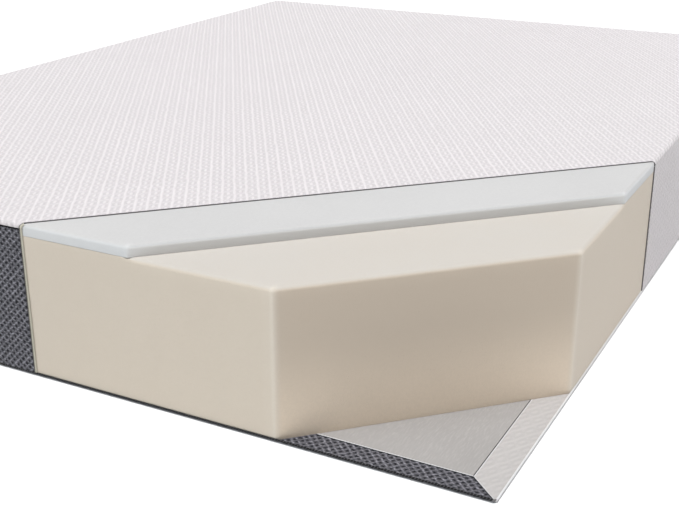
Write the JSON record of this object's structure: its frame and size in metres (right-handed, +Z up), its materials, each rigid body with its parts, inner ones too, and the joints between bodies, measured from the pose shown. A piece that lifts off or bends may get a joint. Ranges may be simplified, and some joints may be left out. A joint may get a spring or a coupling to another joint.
{
  "type": "memory foam mattress",
  "caption": "Layered foam mattress in a knit and mesh cover with a zip at the head end; one corner is cut open in steps to show the layers.",
  "frame": {"origin": "middle of the underside, on the surface that the mattress lies on", "axes": "+X along the length towards the head end, +Y across towards the whole long side, +Z up; the opened corner is at -X, -Y"},
  "size_m": [2.0004, 1.5, 0.25],
  "materials": {
    "base_foam": "matte",
    "memory_foam": "matte",
    "knit": "matte",
    "mesh": "matte",
    "felt": "matte",
    "dark_thread": "matte",
    "pale_thread": "matte",
    "zip_tape": "matte",
    "zip_coil": "satin",
    "zip_metal": "satin",
    "label": "satin"
  },
  "bodies": {
    "mattress": {"base_foam": "base_foam", "memory_foam": "memory_foam", "cover_top_panel": "knit", "foot_end_wall": "mesh", "near_side_wall": "knit", "far_side_wall": "knit", "head_end_wall_upper": "mesh", "head_end_wall_lower": "mesh", "foot_turn_under": "mesh", "near_turn_under": "knit", "far_turn_under": "knit", "head_turn_under": "mesh", "bottom_panel": "felt", "foot_top_seam": "dark_thread", "near_top_seam": "pale_thread", "far_top_seam": "pale_thread", "head_top_seam": "dark_thread", "foot_bottom_seam": "dark_thread", "near_bottom_seam": "pale_thread", "far_bottom_seam": "pale_thread", "head_bottom_seam": "dark_thread", "corner_seams": "dark_thread", "turn_under_mitre_seams": "dark_thread", "bottom_panel_seam": "dark_thread", "zip_tape_upper": "zip_tape", "zip_tape_lower": "zip_tape", "zip_coil_upper": "zip_coil", "zip_coil_lower": "zip_coil", "zip_stops": "zip_metal", "care_label": "label"},
    "slider": {"zip_slider": "zip_metal"},
    "puller": {"zip_puller": "zip_metal"}
  },
  "joints": [
    {"name": "zip_slide", "type": "slide", "parent": "mattress", "child": "slider", "axis": [0, 1, 0], "range_m": [0, 1.216]},
    {"name": "puller_turn", "type": "hinge", "parent": "slider", "child": "puller", "pos_m": [0.9968, -0.608, 0.06], "axis": [0, 0, 1], "range_deg": [-180, 0]}
  ]
}
